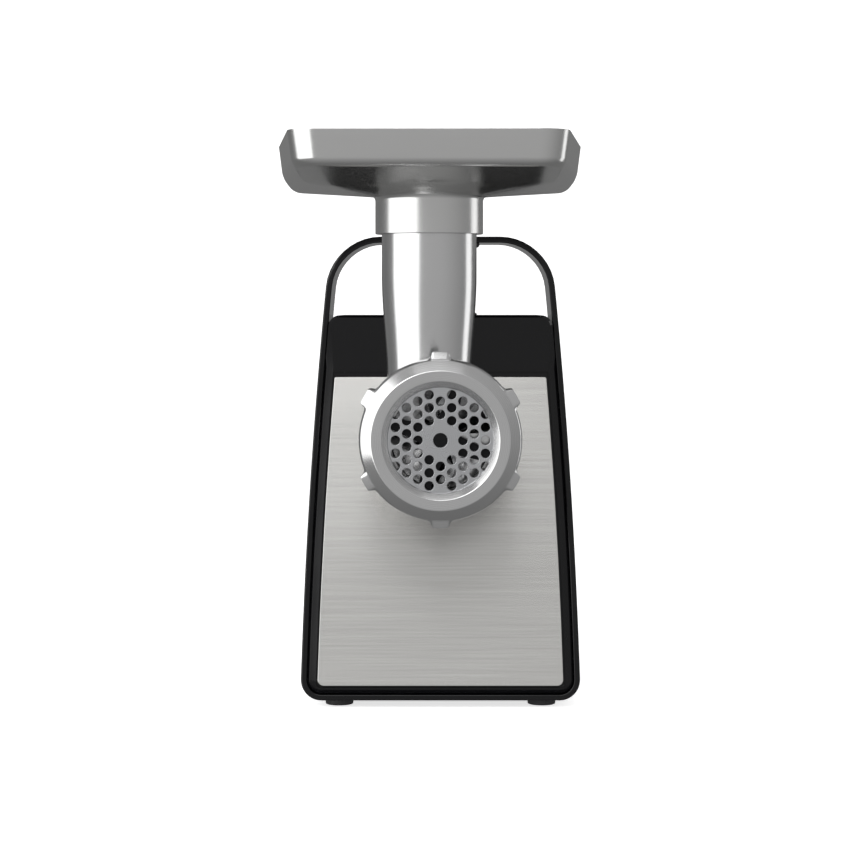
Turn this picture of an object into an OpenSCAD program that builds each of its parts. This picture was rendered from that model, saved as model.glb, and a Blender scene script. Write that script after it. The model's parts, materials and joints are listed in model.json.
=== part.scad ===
// Electric meat grinder: a leaning housing inside a one-piece carrying loop, a gear motor,
// and a removable die-cast grinding head with auger, knife, plate, ring nut and hopper tray.
// Origin: centre of the whole outline seen from above, on the table. Front faces -Y, +Z is up.
// Millimetres. The modules measure from the centre of the housing, and placed() moves them.

/* [Housing] */
// Width of the carrying loop at the table
base_w = 159.8; // [145:0.1:195]
// Width of the carrying loop at the shoulder
shoulder_w = 136.6; // [125:0.1:165]
// Depth of the housing at the table
body_d = 190; // [180:1:230]
// Height of the black shoulder above the table
shoulder_h = 223; // [212:1:270]
// Height of the handle's top above the table
handle_h = 269; // [262:1:320]
// Backward lean of the front, in degrees
lean = 8.5; // [6:0.5:10]
// Forward lean of the rear wall, in degrees
rear_lean = 6; // [3:0.5:7]
// Radius of the slight outward bow of the sides
side_r = 3450; // [2500:50:6000]
// Wall thickness of the housing shells
wall = 3; // [2:0.5:3.5]

/* [Loop and bezel] */
// Thickness of the loop's band
frame_t = 3.6; // [3:0.1:5]
// Depth of the loop's band from front to back
frame_d = 58; // [40:1:66]
// Outer corner radius at the bottom of the loop
corner_r = 12; // [9:0.5:16]
// Outer corner radius of the handle arch
arch_r = 29; // [20:1:36]
// Width of the bevel around the front
bevel_w = 5; // [3:0.5:6]
// Distance from the loop's outside to the steel panel
panel_inset = 9.8; // [8:0.1:12]
// Height of the steel panel's lower edge
panel_low = 13; // [11:0.5:20]
// Height of the steel panel's upper edge
panel_high = 189.5; // [180:0.5:205]
// Thickness of the steel panel
panel_t = 1.2; // [0.8:0.1:2]
// Width of the grip pad under the handle
grip_w = 46; // [30:1:70]

/* [Grinding head] */
// Height of the grinding head's axis
head_z = 157.5; // [145:0.5:165]
// Distance of the ring nut's face in front of the housing's centre
head_front = 195; // [180:1:220]
// Sideways offset of the feed tube from the head's axis
tube_off = 6.2; // [0:0.1:8]
// Distance of the feed tube's axis in front of the housing's centre
tube_y = 130; // [128:1:138]
// Outer radius of the feed tube at its top
tube_r = 26.2; // [24:0.1:28]
// Outer radius of the feed tube at the barrel
tube_root_r = 23; // [20:0.1:24]
// Inner radius of the feed tube
throat_r = 20.5; // [17:0.1:22]
// Height of the feed tube's top
tube_top = 286; // [270:1:310]
// Radius of the cutting plate
plate_r = 31; // [28:0.5:33]
// Thickness of the cutting plate
plate_t = 5; // [4:0.5:6]
// Diameter of each hole in the cutting plate
hole_d = 5; // [3:0.5:5.5]
// Spacing of the holes in the cutting plate
hole_pitch = 6.87; // [6.4:0.01:7.2]
// Radius of the auger's flight
auger_r = 26.4; // [24:0.1:26.6]
// Radius of the head's rear spigot
spigot_r = 29; // [26:0.5:32]

/* [Hopper tray] */
// Width of the tray at its front edge
tray_front_w = 150; // [120:1:160]
// Width of the tray at its rear edge
tray_rear_w = 176; // [150:1:190]
// Depth of the tray from front to back
tray_d = 176; // [150:1:210]
// Distance of the tray's front edge in front of the housing's centre
tray_front = 205; // [195:1:215]
// Height of the tray's rim above the table
tray_top = 321.4; // [310:0.1:350]
// Height of the wall of the tray at its front
tray_lip = 19; // [12:1:24]
// Wall thickness of the tray
tray_t = 1.8; // [1.2:0.1:3]
// Outer radius of the collar under the tray
collar_r = 29.8; // [29:0.1:33]
// Height of the collar below the tray
collar_h = 20.5; // [12:0.5:26]

/* [Drive] */
// Teeth of the motor pinion
teeth_motor = 10; // [10:1:12]
// Teeth of the first gear
teeth_first = 50; // [46:1:52]
// Teeth of both intermediate pinions
teeth_pinion = 12; // [12:1:14]
// Teeth of the second gear
teeth_second = 42; // [38:1:44]
// Teeth of the output gear
teeth_output = 40; // [36:1:42]
// Radius of the motor's can
motor_r = 36; // [34:0.5:38]
// Length of the motor's can
motor_len = 57; // [54:1:58]

/* [Controls] */
// Width of the head release button
button_w = 43; // [24:1:50]
// Travel of the head release button
button_travel = 3; // [2:0.5:4]
// Height of the power rocker
rocker_h = 29; // [22:1:30]

/* [Hidden] */
$fn = 96;
slack = 0.3;                 // gap between pieces of different bodies
fit = 0.06;                  // radial clearance of a running fit
foot_h = 4;                  // gap between the table and the loop
loop_setback = 4;            // front edge of the loop behind the front face
bezel_d = 9;                 // depth of the front bezel behind the front face
panel_gap = 0.8;             // shadow gap around the steel panel
shell_gap = 0.2;             // gap between the loop and the shells inside it
shell_inset = frame_t + shell_gap;
shell_low = foot_h + shell_inset;
shell_corner = corner_r - shell_inset;
shoulder_corner = 6;         // rounding of the shoulder's upper corners
floor_z = shell_low + wall;  // top of the base plate
split_y = 14;                // plane between the housing shell and the rear cover
rear_r = 46;                 // rounding of the rear cover's top edge
socket_r = spigot_r + 7;     // outside of the head socket
socket_front = -92;
socket_back = -46;
spigot_front = -98;
spigot_back = socket_back - 2;
latch_y = spigot_back - 10;
latch_t = 5;
latch_low = head_z - 4;      // lower ends of the latch plate's prongs
nut_back = -166;
nut_cone = 5;                // depth of the cone round the nut's face
lip_t = 4.5;                 // front lip of the ring nut, in front of the plate
nut_open_r = plate_r - 3.1;
nut_face_in = plate_r + 0.3;
nut_face_out = plate_r + 5.9;
nut_r = plate_r + 11.5;
lug_r = nut_r + 4.2;
lug_w = 9;
plate_front = -head_front + lip_t;
plate_back = plate_front + plate_t;
barrel_bore = auger_r + 0.6;
thread_r = plate_r + 3.7;
barrel_r = plate_r + 3;
barrel_front = plate_back - 1;
knife_seat = plate_back + 8;
knife_back = knife_seat - slack;
barrel_floor = spigot_back - 10;
shank_r = 8;
drive_r = 6.5;               // hexagon of the auger's drive, across its corners
drive_len = 16;
pin_r = 3.8;
gear_y3 = -37;               // output stage, front face
gear_y2 = -21;               // second stage, front face
gear_y1 = -9;                // first stage, front face
case_front = socket_back;
case_back = 2;
cover_back = case_back + 4;
motor_front = cover_back + 6;
motor_back = motor_front + motor_len;
fan_y = motor_back + 4;
pinion_bore = 2.5;
module_1 = 1;
module_2 = 1.25;
module_3 = 1.75;
output_axis = [0, head_z];
second_axis = along(output_axis, -55, module_3 * (teeth_pinion + teeth_output) / 2);
first_axis = along(second_axis, -120, module_2 * (teeth_pinion + teeth_second) / 2);
motor_axis = along(first_axis, -107, module_1 * (teeth_motor + teeth_first) / 2);
output_phase = 0;
second_phase = meshed(output_phase, teeth_output, teeth_pinion, -55);
first_phase = meshed(second_phase, teeth_second, teeth_pinion, -120);
motor_phase = meshed(first_phase, teeth_first, teeth_motor, -107);
foot_x = 58;
front_foot_y = face_y(0, loop_setback) + 16;
loop_back = face_y(0, loop_setback) + frame_d;
rear_foot_y = body_d / 2 - 22;
button_y = face_y(shoulder_h, 0) + 30;
button_d = 16;
button_proud = 1.4;
button_low = shoulder_h - wall - 5;
spring_len = 14;
screw_r = 1.6;
screw_x = half_w(30) - shell_inset - wall - 8;
rocker_y = split_y + 34;
rocker_z = 64;
rocker_seat = 0.08;          // gap under the lower end of the rocker surround's flange
rocker_x = half_w(rocker_z - rocker_h / 2 - 6) - shell_inset + rocker_seat;
gland_x = -44;
gland_z = 30;
gland_r = 8;
gland_flange = 4;            // back of the cable inlet behind the rear wall
screw_y = [loop_back + 8, rear_foot_y - 18];
tray_low = tray_top - tray_lip;
neck_z = tube_top + 2.5;
origin = [-tube_off, (rear_y(gland_z, 0) + gland_flange - tray_front) / 2, 0];

// ---- shared geometry ----

// Half the outer width of the loop at height z.
function half_w(z) = base_w / 2 - (base_w - shoulder_w) / 2 * z / shoulder_h
    + z * (shoulder_h - z) / (2 * side_r);

// Depth of a plane that lies behind the leaning front face, at height z.
function face_y(z, depth) = -body_d / 2 + z * tan(lean) + depth / cos(lean);

// Depth of the leaning rear wall at height z, moved inwards by inset.
function rear_y(z, inset) = body_d / 2 - z * tan(rear_lean) - inset / cos(rear_lean);

// Point at distance d from p, at an angle in the XZ plane.
function along(p, angle, d) = [p[0] + d * cos(angle), p[1] + d * sin(angle)];

// Phase of a gear that meshes with a gear of z1 teeth, whose centre lies at angle from it.
function meshed(phase, z1, z2, angle) =
    angle + 180 - 180 / z2 + (angle - phase) * z1 / z2;

function arc(cx, cy, r, a0, a1, n = 8) =
    [for (i = [0:n]) let (a = a0 + (a1 - a0) * i / n) [cx + r * cos(a), cy + r * sin(a)]];

function flipped(points) = [for (i = [len(points) - 1:-1:0]) [-points[i][0], points[i][1]]];

// Right half of a front outline that follows the bowed sides, with rounded corners.
function right_side(inset, low, high, low_r, high_r, steps = 10) = concat(
    arc(half_w(low + low_r) - inset - low_r, low + low_r, low_r, -90, 0),
    [for (i = [1:steps - 1]) let (z = low + low_r + (high - high_r - low - low_r) * i / steps)
        [half_w(z) - inset, z]],
    arc(half_w(high - high_r) - inset - high_r, high - high_r, high_r, 0, 90));

module outline(inset, low, high, low_r, high_r) {
    side = right_side(inset, low, high, low_r, high_r);
    polygon(concat(side, flipped(side)));
}

// Rectangle with rounded corners, centred.
module pad(w, d, r) {
    corner = concat(arc(w / 2 - r, d / 2 - r, r, 0, 90, 6), arc(r - w / 2, d / 2 - r, r, 90, 180, 6),
        arc(r - w / 2, r - d / 2, r, 180, 270, 6), arc(w / 2 - r, r - d / 2, r, 270, 360, 6));
    polygon(corner);
}

// Extrudes an XZ drawing from y0 back to y1.
module along_y(y0, y1) {
    translate([0, y1, 0]) rotate([90, 0, 0]) linear_extrude(y1 - y0) children();
}

// Extrudes a YZ drawing from x0 to x1.
module along_x(x0, x1) {
    translate([x0, 0, 0]) rotate([90, 0, 90]) linear_extrude(x1 - x0) children();
}

// Puts its children in a frame whose XZ plane is the leaning front face.
module leaned() {
    translate([0, -body_d / 2, 0]) rotate([-lean, 0, 0]) children();
}

// Cylinder along Y about an axis given as [x, z].
module rod(axis, y0, y1, r, r2 = -1) {
    translate([axis[0], y0, axis[1]]) rotate([-90, 0, 0])
        cylinder(h = y1 - y0, r1 = r, r2 = r2 < 0 ? r : r2);
}

module tube_y(axis, y0, y1, r, bore) {
    difference() {
        rod(axis, y0, y1, r);
        rod(axis, y0 - 1, y1 + 1, bore);
    }
}

// Moves its children from the centre of the housing to the model's own origin.
module placed() {
    translate(-origin) children();
}

// ---- housing ----

module loop_frame() {
    low = face_y(0, loop_setback);
    high = face_y(handle_h, loop_setback);
    color("#141414") placed() intersection() {
        along_y(-body_d, body_d) difference() {
            outline(0, foot_h, handle_h, corner_r, arch_r);
            outline(frame_t, foot_h + frame_t, handle_h - frame_t, corner_r - frame_t,
                arch_r - frame_t);
        }
        along_x(-base_w, base_w) polygon([[low, 0], [low + frame_d, 0],
            [high + frame_d, handle_h], [high, handle_h]]);
    }
}

// Soft pad under the top of the arch.
module handle_grip() {
    top = handle_h - frame_t;
    y = face_y(top, loop_setback) + frame_d / 2;
    color("#1d1d1d") placed() translate([0, y, top - 1.8]) linear_extrude(1.8)
        pad(grip_w, frame_d - 12, 5);
}

module front_bezel() {
    low = shell_low / cos(lean);
    high = shoulder_h / cos(lean);
    color("#101010") placed() difference() {
        intersection() {
            leaned() hull() {
                along_y(0, 0.05) outline(shell_inset + bevel_w, low + bevel_w - 1, high - 2,
                    shell_corner - 2, shoulder_corner);
                along_y(bevel_w, bezel_d) outline(shell_inset - 1, low - 4, high + 1,
                    shell_corner, shoulder_corner);
            }
            along_y(-body_d, body_d) outline(shell_inset, shell_low, shoulder_h,
                shell_corner, shoulder_corner);
        }
        leaned() along_y(-1, panel_t) outline(panel_inset - panel_gap, panel_low - panel_gap,
            panel_high + panel_gap, 3.5, 1.5);
        leaned() along_y(panel_t + 2.5, bezel_d + 1) outline(shell_inset + bevel_w + wall,
            panel_low, high - wall - 1, 3, 3);
        rod(output_axis, -body_d, body_d, socket_r + slack);
    }
}

module front_panel() {
    color("#c6c8ca") placed() difference() {
        leaned() along_y(0, panel_t) outline(panel_inset, panel_low, panel_high, 3.5, 1.2);
        rod(output_axis, -body_d, body_d, socket_r + slack);
    }
}

module button_slot() {
    translate([0, button_y, shoulder_h - 2 * wall]) linear_extrude(4 * wall)
        pad(button_w + 2 * slack, button_d + 2 * slack, 4 + slack);
}

// Screw posts beside the side walls, each with a rib to its wall.
module screw_boss(y) {
    rib = half_w(30) - shell_inset - wall / 2 - screw_x;
    for (side = [-1, 1])
        translate([side * screw_x, y, floor_z]) difference() {
            union() {
                cylinder(h = 22, r = 4);
                translate([side > 0 ? 0 : -rib, -1.5, 0]) cube([rib, 3, 22]);
            }
            translate([0, 0, -1]) cylinder(h = 20, r = screw_r);
        }
}

module floor_cut() {
    w = half_w(shell_low + shell_corner) - shell_inset - shell_corner;
    translate([-w, -body_d, 0]) cube([2 * w, 2 * body_d, floor_z]);
}

module housing_shell() {
    low = shell_low;
    high = shoulder_h;
    color("#121212") placed() difference() {
        union() {
            intersection() {
                along_y(-body_d, body_d) difference() {
                    outline(shell_inset, low, high, shell_corner, shoulder_corner);
                    outline(shell_inset + wall, low + wall, high - wall, shell_corner - wall,
                        shoulder_corner - wall);
                }
                along_x(-base_w, base_w) polygon([[face_y(0, bezel_d), 0], [split_y, 0],
                    [split_y, high], [face_y(high, bezel_d), high]]);
            }
            screw_boss(screw_y[0]);
        }
        floor_cut();
        button_slot();
    }
}

// Side view of the rear cover, moved inwards by inset.
module rear_profile(inset) {
    r = rear_r - inset;
    top = shoulder_h - inset;
    bend_z = top - r;
    bend_y = rear_y(bend_z + r * sin(rear_lean), inset) - r * cos(rear_lean);
    polygon(concat([[split_y, 0], [rear_y(0, inset), 0]],
        arc(bend_y, bend_z, r, rear_lean, 90, 12), [[split_y, top]]));
}

module rear_solid(inset) {
    intersection() {
        along_y(-body_d, body_d) outline(shell_inset + inset, shell_low + inset,
            shoulder_h - inset, shell_corner - inset, shoulder_corner - inset / 2);
        along_x(-base_w, base_w) rear_profile(inset);
    }
}

module rear_cover() {
    slots = 9;
    color("#121212") placed() difference() {
        union() {
            difference() {
                rear_solid(0);
                rear_solid(wall);
            }
            screw_boss(screw_y[1]);
        }
        floor_cut();
        for (i = [0:slots - 1])
            for (side = [-1, 1])
                translate([side * 24 - 19, body_d / 2 - 40, 84 + i * 8]) cube([38, 60, 3.2]);
        rod([gland_x, gland_z], 0, body_d, gland_r);
        translate([rocker_x - 20.8, rocker_y - 11, rocker_z - rocker_h / 2 - 3])
            cube([40, 22, rocker_h + 6]);
    }
}

module base_plate() {
    w = half_w(shell_low + shell_corner) - shell_inset - shell_corner;
    front = face_y(shell_low, bezel_d) + 1;
    color("#1a1a1a") placed() difference() {
        translate([-w, front, shell_low]) cube([2 * w, rear_y(floor_z, wall) - front, wall]);
        for (i = [0:6])
            translate([-24, -30 + i * 8, 0]) cube([48, 3.2, 40]);
        for (y = screw_y)
            for (side = [-1, 1])
                translate([side * screw_x, y, 0]) cylinder(h = 40, r = screw_r + 0.2);
    }
}

module rubber_feet() {
    color("#262626") placed() for (side = [-1, 1]) {
        translate([side * foot_x, front_foot_y, 0]) cylinder(h = foot_h, r = 8);
        translate([side * foot_x, rear_foot_y, 0]) cylinder(h = shell_low, r = 9);
    }
}

module housing_screws() {
    color("#8d9093") placed() for (y = screw_y)
        for (side = [-1, 1])
            translate([side * screw_x, y, shell_low - 1.6]) {
                cylinder(h = 1.6, r = 3.2);
                cylinder(h = wall + 14, r = screw_r);
            }
}

// Metal ring that the head's spigot pushes into.
module head_socket() {
    color("#a9abad") placed() difference() {
        union() {
            rod(output_axis, socket_front, socket_back, socket_r);
            rod(output_axis, socket_back - 5, socket_back, socket_r + 6);
        }
        rod(output_axis, socket_front - 1, socket_back + 1, spigot_r + slack);
        // window for the latch plate
        translate([-60, latch_y - slack, latch_low - button_travel - 1])
            cube([120, latch_t + 2 * slack, 120]);
    }
}

module release_button() {
    color("#1b1b1b") placed() translate([0, button_y, button_low]) {
        linear_extrude(shoulder_h - button_low + button_proud) pad(button_w, button_d, 4);
        linear_extrude(2) pad(button_w + 5, button_d + 4, 4);
    }
}

// Fork that hangs from the button and straddles the spigot.
module latch_plate() {
    bridge_z = head_z + spigot_r + 8;
    open_r = spigot_r + 0.8;
    color("#b4b6b8") placed() {
        difference() {
            translate([-spigot_r - 8, latch_y, latch_low])
                cube([2 * spigot_r + 16, latch_t, bridge_z - latch_low]);
            translate([0, latch_y - 1, 0]) {
                rod(output_axis, 0, latch_t + 2, open_r);
                rod([0, head_z + button_travel], 0, latch_t + 2, open_r);
                translate([-open_r, 0, latch_low - 1]) cube([2 * open_r, latch_t + 2,
                    head_z + button_travel - latch_low + 1]);
            }
        }
        translate([-6, latch_y, bridge_z]) cube([12, latch_t, button_low - bridge_z]);
        translate([-6, latch_y, button_low - 3]) cube([12, button_y - latch_y, 3]);
    }
}

// Coil spring under the release button, drawn as a sleeve.
module button_spring() {
    color("#9fa2a5") placed() translate([14, button_y, button_low - spring_len]) difference() {
        cylinder(h = spring_len, r = 4);
        translate([0, 0, -1]) cylinder(h = spring_len + 2, r = 3);
    }
}

module rocker_bezel() {
    color("#232323") placed() translate([rocker_x - 9.8, rocker_y, rocker_z]) difference() {
        union() {
            translate([0, -11, -rocker_h / 2 - 3]) cube([9.8, 22, rocker_h + 6]);
            translate([9.8, -14, -rocker_h / 2 - 6]) cube([2, 28, rocker_h + 12]);
        }
        translate([-1, -8.5, -rocker_h / 2 - 0.8]) cube([20, 17, rocker_h + 1.6]);
    }
}

module power_rocker() {
    half = rocker_h / 2 - 1;
    color("#0d0d0d") placed() translate([rocker_x - 4.8, rocker_y - 8, rocker_z])
        rotate([-90, 0, 0]) mirror([0, 1, 0]) linear_extrude(16) polygon(concat(
            [[-5, -half + 2], [6, -half - 0.3], [8, -half + 0.4]],
            arc(30, 0, 24.5, 205, 155, 8),
            [[8, half - 0.4], [6, half + 0.3], [-5, half - 2]]));
}

// Cable inlet with an empty passage.
module cord_gland() {
    y = rear_y(gland_z, 0);
    color("#1a1a1a") placed() difference() {
        union() {
            rod([gland_x, gland_z], y - 10, y + 1.3, gland_r - 0.1);
            rod([gland_x, gland_z], y + 1.3, y + gland_flange, gland_r + 2.5);
        }
        rod([gland_x, gland_z], y - 12, y + 6, 3.8);
    }
}

// ---- motor ----

module control_board() {
    z = motor_axis[1] + motor_r + 6;
    y = motor_front + 10;
    color("#2f6b46") placed() difference() {
        union() {
            translate([motor_axis[0] - 22, y, z]) cube([44, 38, 1.6]);
            translate([motor_axis[0] - 16, y + 6, z + 1.6]) cube([14, 12, 14]);
            translate([motor_axis[0] + 4, y + 20, z + 1.6]) cube([12, 12, 9]);
            for (side = [-1, 1])
                translate([motor_axis[0] + side * 15, y + 19, motor_axis[1]])
                    cylinder(h = z - motor_axis[1], r = 2.5);
        }
        rod(motor_axis, 0, body_d, motor_r);
    }
}

module motor_can() {
    end_t = 3;
    color("#6f7377") placed() difference() {
        rod(motor_axis, motor_front, motor_back, motor_r);
        rod(motor_axis, motor_front + end_t, motor_back - end_t, motor_r - 2);
        rod(motor_axis, motor_front - 1, motor_back + 1, 9);
        for (a = [45:90:315])
            rotate_about(motor_axis, a) translate([motor_axis[0] + 20, motor_back - 8,
                motor_axis[1] - 5]) cube([10, 12, 10]);
    }
}

// Turns its children about an axis along Y.
module rotate_about(axis, angle) {
    translate([axis[0], 0, axis[1]]) rotate([0, angle, 0]) translate([-axis[0], 0, -axis[1]])
        children();
}

module stator_core() {
    y0 = motor_front + 10;
    color("#7a5c3a") placed() difference() {
        rod(motor_axis, y0, y0 + 26, motor_r - 2);
        rod(motor_axis, y0 - 1, y0 + 27, motor_r - 11);
        for (side = [-1, 1])
            translate([motor_axis[0] - 9 + side * 26, y0 - 1, motor_axis[1] - 8])
                cube([18, 28, 16]);
    }
}

module brush_holders() {
    y0 = motor_back - 17;
    color("#c9a227") placed() intersection() {
        rod(motor_axis, y0, y0 + 8, motor_r - 2);
        for (side = [-1, 1])
            translate([motor_axis[0] + side * 30 - 19, y0, motor_axis[1] - 4])
                cube([38, 8, 8]);
    }
}

module front_bearing() {
    color("#c0c2c4") placed() tube_y(motor_axis, motor_front, motor_front + 6, 9, 4 + fit);
}

module rear_bearing() {
    color("#c0c2c4") placed() tube_y(motor_axis, motor_back - 6, motor_back, 9, 4 + fit);
}

module rotor_shaft() {
    color("#b9bcbf") placed() {
        rod(motor_axis, gear_y1 - 2, cover_back, pinion_bore);
        rod(motor_axis, cover_back, fan_y + 9, 4);
    }
}

module armature() {
    r = motor_r - 12;
    y0 = motor_front + 10;
    color("#8b5a2b") placed() difference() {
        rod(motor_axis, y0, y0 + 26, r);
        rod(motor_axis, y0 - 1, y0 + 27, 4);
        for (a = [0:30:330])
            rotate_about(motor_axis, a) translate([motor_axis[0] + r - 6, y0 - 1,
                motor_axis[1] - 1.2]) cube([8, 28, 2.4]);
    }
}

module commutator() {
    color("#b87333") placed() tube_y(motor_axis, motor_back - 19, motor_back - 7.5, 10, 4);
}

module motor_fan() {
    color("#2a2a2a") placed() difference() {
        union() {
            rod(motor_axis, fan_y, fan_y + 1.6, 28);
            rod(motor_axis, fan_y, fan_y + 7, 8);
            for (a = [0:36:324])
                rotate_about(motor_axis, a) translate([motor_axis[0] + 7, fan_y,
                    motor_axis[1] - 0.8]) cube([20, 7, 1.6]);
        }
        rod(motor_axis, fan_y - 1, fan_y + 9, 4);
    }
}

// ---- gears ----

// Points of one involute flank, as angles and radii measured from the tooth's middle.
function flank(rb, r0, r1, half, n = 4) = [for (i = [0:n]) let (
    r = r0 + (r1 - r0) * i / n,
    t = sqrt(max(0, pow(r / rb, 2) - 1)),
    lead = t * 180 / PI - atan(t)) [r, half - lead]];

// Outline of a spur gear: 20 degree involute teeth with a little backlash.
module gear_outline(teeth, size, phase) {
    rp = size * teeth / 2;
    rb = rp * cos(20);
    base_lead = tan(20) * 180 / PI - 20;
    half = (90 - 9) / teeth + base_lead;
    root = rp - 1.3 * size;
    side = flank(rb, max(rb, root), rp + 0.85 * size, half);
    tooth = concat([[root, side[0][1]]], side);
    polygon([for (k = [0:teeth - 1])
        let (mid = phase + 360 * k / teeth)
            for (p = concat([for (q = tooth) [q[0], mid - q[1]]],
                [for (i = [len(tooth) - 1:-1:0]) [tooth[i][0], mid + tooth[i][1]]]))
                [p[0] * cos(p[1]), p[0] * sin(p[1])]]);
}

module gear(axis, y0, y1, teeth, size, phase, bore) {
    translate([axis[0], y1, axis[1]]) rotate([90, 0, 0]) linear_extrude(y1 - y0)
        difference() {
            gear_outline(teeth, size, phase);
            circle(r = bore);
        }
}

module motor_pinion() {
    color("#b0b3b6") placed() gear(motor_axis, gear_y1 - 1, gear_y1 + 8, teeth_motor, module_1,
        motor_phase, pinion_bore);
}

module first_gear() {
    color("#d9d4c5") placed() gear(first_axis, gear_y1, gear_y1 + 7, teeth_first, module_1,
        first_phase, 4);
}

module first_pinion() {
    color("#b0b3b6") placed() gear(first_axis, gear_y2 - 1, gear_y1, teeth_pinion, module_2,
        first_phase, 4);
}

module first_shaft() {
    color("#c4c6c8") placed() rod(first_axis, gear_y2 - 6, cover_back - 1, 4);
}

module second_gear() {
    color("#d9d4c5") placed() gear(second_axis, gear_y2, gear_y2 + 9, teeth_second, module_2,
        second_phase, 5);
}

module second_pinion() {
    color("#b0b3b6") placed() gear(second_axis, gear_y3, gear_y2, teeth_pinion, module_3,
        second_phase, 5);
}

module second_shaft() {
    color("#c4c6c8") placed() rod(second_axis, case_front + 1, cover_back - 1, 5);
}

module output_gear() {
    color("#b8bbbe") placed() gear(output_axis, gear_y3, gear_y3 + 13, teeth_output, module_3,
        output_phase, 11);
}

// Output shaft with a hexagonal socket for the auger's drive.
module output_shaft() {
    color("#a4a7aa") placed() difference() {
        union() {
            rod(output_axis, spigot_back + 0.6, gear_y3 + 16, 11);
            rod(output_axis, gear_y3 + 16, cover_back - 1, 6);
        }
        translate([0, spigot_back, head_z]) rotate([-90, 0, 0])
            cylinder(h = drive_len + 2, r = drive_r + 0.5, $fn = 6);
    }
}

module output_bearing() {
    color("#c0c2c4") placed() tube_y(output_axis, case_front, case_front + 6, 17, 11 + fit);
}

// Side walls of the gearbox, moved inwards by inset.
module case_outline(inset) {
    output_r = module_3 * teeth_output / 2 + 8 - inset;
    second_r = module_2 * teeth_second / 2 + 8 - inset;
    first_r = module_1 * teeth_first / 2 + 8 - inset;
    translate(output_axis) circle(r = output_r);
    translate(second_axis) circle(r = second_r);
    translate(first_axis) circle(r = first_r);
    translate(motor_axis) circle(r = 14 - inset);
}

module gearbox_case() {
    color("#9a9da0") placed() difference() {
        along_y(case_front, case_back) case_outline(0);
        along_y(case_front + 4, case_back + 1) case_outline(4);
        rod(output_axis, case_front - 1, case_back, 17);
        rod(second_axis, case_front - 1, case_back, 5 + fit);
    }
}

module gearbox_cover() {
    color("#8c8f92") placed() difference() {
        union() {
            along_y(case_back, cover_back) case_outline(0);
            for (a = [30, 150, 270])
                rod(along(motor_axis, a, 13.5), cover_back, motor_front, 4);
        }
        rod(output_axis, case_back - 1, cover_back + 1, 6 + fit);
        rod(second_axis, case_back - 1, cover_back + 1, 5 + fit);
        rod(first_axis, case_back - 1, cover_back + 1, 4 + fit);
        rod(motor_axis, case_back - 1, motor_front + 1, 7);
    }
}

// ---- grinding head ----

module grinder_head() {
    tube = [-tube_off, -tube_y];
    color("#c9cbcd") placed() difference() {
        union() {
            rod(output_axis, barrel_front, nut_back + 4, thread_r);
            rod(output_axis, nut_back + 4, spigot_front, barrel_r);
            rod(output_axis, spigot_front - 3, spigot_front + 4, socket_r);
            rod(output_axis, spigot_front, spigot_back, spigot_r);
            translate([tube[0], tube[1], head_z + 20]) cylinder(h = 20, r = tube_root_r);
            translate([tube[0], tube[1], head_z + 40]) cylinder(h = 30, r1 = tube_root_r,
                r2 = tube_r);
            translate([tube[0], tube[1], head_z + 70]) cylinder(h = tube_top - head_z - 70,
                r = tube_r);
        }
        rod(output_axis, barrel_front - 1, knife_seat, plate_r + slack);
        rod(output_axis, barrel_front, barrel_floor, barrel_bore);
        rod(output_axis, barrel_floor - 1, spigot_back + 1, 12);
        translate([tube[0], tube[1], head_z]) cylinder(h = tube_top, r = throat_r);
    }
}

module head_bush() {
    color("#c58a3a") placed() tube_y(output_axis, barrel_floor, spigot_back, 12, shank_r + fit);
}

module auger() {
    front = knife_back;
    back = barrel_floor - 3;
    pitch = 32;
    turns = (back - front) / pitch;
    color("#b7babc") placed() difference() {
        union() {
            rod(output_axis, front, back, 10, 12);
            translate([0, front, head_z]) rotate([-90, 0, 0])
                linear_extrude(back - front, twist = -360 * turns, slices = 72, segments = 8)
                    translate([0, -3]) square([auger_r, 6]);
        }
        rod(output_axis, front - 1, back + 1, 5);
    }
}

// Steel core of the auger: pin, knife square, shank and drive hexagon.
module auger_shank() {
    square_y = plate_back + slack;
    back = barrel_floor - 3;
    color("#8f9295") placed() {
        rod(output_axis, plate_front + 0.5, square_y, pin_r);
        translate([-4.5, square_y, head_z - 4.5]) cube([9, knife_back - square_y, 9]);
        rod(output_axis, knife_back, back, 5);
        rod(output_axis, back, spigot_back + 0.2, shank_r);
        translate([0, spigot_back + 0.2, head_z]) rotate([-90, 0, 0])
            cylinder(h = drive_len, r = drive_r, $fn = 6);
    }
}

module thrust_washer() {
    color("#e9e7df") placed() tube_y(output_axis, barrel_floor - 2.5, barrel_floor - 0.3, 14, shank_r);
}

module knife() {
    y0 = plate_back + slack;
    y1 = knife_back;
    color("#9b9ea1") placed() difference() {
        union() {
            rod(output_axis, y0, y1, 10);
            for (a = [20:90:290])
                rotate_about(output_axis, a) translate([0, y1, head_z]) rotate([90, 0, 0])
                    linear_extrude(y1 - y0) polygon([[0, -6], [plate_r - 3, -2.5],
                        [plate_r - 2.5, 3.5], [0, 6]]);
        }
        translate([-4.5, y0 - 1, head_z - 4.5]) cube([9, y1 - y0 + 2, 9]);
    }
}

module cutting_plate() {
    column_w = hole_pitch * sqrt(3) / 2;
    reach = 4.1 * hole_pitch;
    color("#a8abad") placed() translate([0, plate_back, head_z]) rotate([90, 0, 0])
        linear_extrude(plate_t) difference() {
            circle(r = plate_r);
            circle(r = pin_r + fit);
            for (k = [-4:4])
                for (m = [-4:4]) {
                    x = k * column_w;
                    y = (m + (k % 2 == 0 ? 0 : 0.5)) * hole_pitch;
                    near = norm([x, y]) < 1.2 * hole_pitch;
                    far = norm([x, y]) > reach || abs(y) > 3.6 * hole_pitch;
                    if (!near && !far)
                        translate([x, y]) circle(r = hole_d / 2);
                }
            translate([-1.5, -plate_r - 1]) square([3, 3]);
        }
}

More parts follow.
